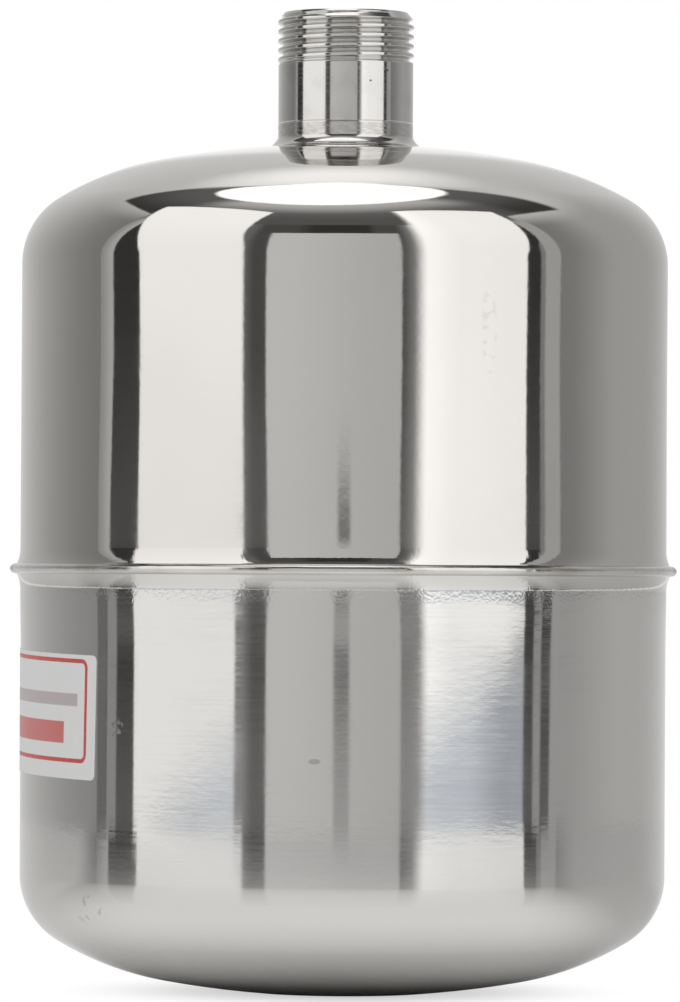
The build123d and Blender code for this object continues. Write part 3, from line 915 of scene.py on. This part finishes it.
# The ceiling: directions become places on a plane overhead, where the soft box is an oval
above = up.math("MAXIMUM", up, 0.05)
over_x = side / above
over_y = back / above
rear = 0.60 - over_x.ease(-0.62, 0.32, -0.19, 0.10)
ceiling = tilt.ease(40, 42) * (over_y - rear).ease(-0.05, 0.05, 1.0, 0.0)
ceiling = ceiling * (over_x - over_y * 0.418 + 1.06).ease(-0.02, 0.02) * over_x.ease(0.86, 0.92, 1.0, 0.0)
ceiling = ceiling * (1 - left_box) * (1 - right_box)
round_x = (over_x + 0.05) / 0.345
round_y = (over_y - 0.185) / 0.46
ring = (round_x * round_x + round_y * round_y) ** 0.5
spill = ring.ease(1.05, 1.8, 0.42, 0.06) * over_y.ease(-0.1, 0.15, 1.0, 0.0)
light = over(light, ceiling, ring.ease(1.1, 2.4, 0.13, 0.05) + spill)
haze_x = (over_x + 0.03) / 0.36
haze_y = (over_y - 0.78) / 0.42
haze = ((haze_x * haze_x + haze_y * haze_y) ** 0.5).ease(0.1, 1.05, 1.0, 0.0) * over_y.ease(0.55, 0.68)
light = over(light, haze, 1.18)
light = over(light, ring.ease(0.96, 1.03, 1.0, 0.0) * up.math("GREATER_THAN", up, 0.0), 1.5)

# Light from below, more even light on dull surfaces, and the white backdrop that the camera sees
light = over(light, tilt.ease(-4, -2.5, 1.0, 0.0), 0.85)
path = direction.node("ShaderNodeLightPath")
light = over(light, path.other("Is Diffuse Ray"), light * 0.5 + 0.45)
seen = path + path.other("Is Transmission Ray")
behind = abs(turn).ease(174, 180) * path.other("Is Glossy Ray") * tilt.ease(10, 25, 1.0, 0.0)
white = seen.math("ADD", seen, behind, clamp=True)
shown = light + white * (1.0 - light)
tint = (blue * (1 - white)).mix((1, 1, 1, 1), (0.90, 0.97, 1.08, 1))
lamp = direction.node("ShaderNodeBackground", None, {0: tint, 1: shown})
direction.node("ShaderNodeOutputWorld", None, {0: lamp})
print("studio nodes", len(room.nodes))

# %% [markdown]
# The tank stands on a white table. To the camera it is plain white with a soft contact shadow. In the
# polished metal it is a pale glow with painted shade that falls off to the sides, and it mirrors the
# panels far out. From below it is clear, and then it lights the underside so that the recess and its
# valve can be seen.

# %% The floor
floor_radius = 1.24
bpy.ops.object.select_all(action="DESELECT")
bpy.ops.mesh.primitive_circle_add(vertices=128, radius=floor_radius, fill_type="TRIFAN")
floor = bpy.context.object
floor.name = floor.data.name = "floor"
floor_paint = bpy.data.materials.new("floor_paint")
floor_paint.use_nodes = True
tree = floor_paint.node_tree
tree.nodes.clear()
where = Wire(tree).node("ShaderNodeTexCoord", output=3)
reach = where.node("ShaderNodeVectorMath", {"operation": "LENGTH"}, {0: where}, output=1)
path = where.node("ShaderNodeLightPath")
shows = path + path.other("Is Glossy Ray")
shows = shows.math("ADD", shows, path.other("Is Transmission Ray"), clamp=True)
lit = where.node("ShaderNodeBsdfDiffuse", None, {0: (0.86, 0.86, 0.86, 1)})
spots = where.node("ShaderNodeSeparateXYZ", None, {0: where})
around = spots.math("ARCTAN2", spots, -1 * spots.other(1)) * (180 / math.pi)
# Painted shade: the floor's glow in the metal's reflections is dimmed towards both sides, as if the
# panels lit only its front, and a little more from 7 to 12 cm out
painted_shade_right = around.ease(40, 92) * around.ease(120, 175, 0.36, 0.1)
painted_shade_left = around.ease(-100, -45, 1.0, 0.0) * around.ease(-175, -120, 0.1, 0.22)
glossy = path.other("Is Glossy Ray")
through = path.other("Transparent Depth")
from_below = through.math("GREATER_THAN", through, 0.5)
level = (0.90 - painted_shade_right - painted_shade_left - reach.ease(0.07, 0.12, 0.0, 0.03)) * glossy
level = level.math("MAXIMUM", level, from_below * reach.ease(0.0, 0.12, 0.55, 0.8)) + path
glow = where.node("ShaderNodeEmission", None, {0: (1, 1, 1, 1), 1: level})
sheen = where.node("ShaderNodeBsdfGlossy", None, {0: (0.85, 0.85, 0.86, 1), "Roughness": 0.07})
seen = path * reach.ease(0.02, 0.075, 0.6, 1.0)
share = seen + (shows - path) * reach.ease(0.040, 0.100)
share = share.math("MAXIMUM", share, from_below)
mixed = share.node("ShaderNodeMixShader", None, {0: share, 1: lit, 2: glow})
sides = around.ease(76, 90) + around.ease(-106, -93, 1.0, 0.0)
far = (reach - 0.12) / 1.1
far = far.math("MAXIMUM", far, 0.0) ** 0.6 * glossy * (1 - sides * 0.65)
mixed = share.node("ShaderNodeMixShader", None, {0: far, 1: mixed, 2: sheen})
clear = where.node("ShaderNodeBsdfTransparent")
under = where.node("ShaderNodeNewGeometry", output=6)
mixed = share.node("ShaderNodeMixShader", None, {0: under, 1: mixed, 2: clear})
where.node("ShaderNodeOutputMaterial", None, {0: mixed})
floor.data.materials.append(floor_paint)

# %% [markdown]
# The photograph was taken from far away with a long lens, at the height of the weld bead, which is
# why the bead looks like a straight line and the tank shows almost no perspective.

# %% The camera
camera_distance, camera_height = 1762.6 * MM, 101.8 * MM
aim_side, aim_height, camera_roll = -0.9 * MM, 119.9 * MM, 0.3
lens = bpy.data.cameras.new("camera")
camera = bpy.data.objects.new("camera", lens)
bpy.context.scene.collection.objects.link(camera)
lens.sensor_fit = "VERTICAL"
lens.sensor_height = 36
lens.lens = 258.7
lens.clip_start = 0.05
camera.location = (aim_side, -camera_distance, camera_height)
aim = Vector((aim_side, 0, aim_height))
look = (aim - camera.location).to_track_quat("-Z", "Y")
roll = Matrix.Rotation(math.radians(camera_roll), 4, "Z")
camera.matrix_world = Matrix.Translation(camera.location) @ look.to_matrix().to_4x4() @ roll
bpy.context.scene.camera = camera
bpy.context.scene.view_settings.view_transform = "Standard"
print("camera at", tuple(camera.matrix_world.translation))
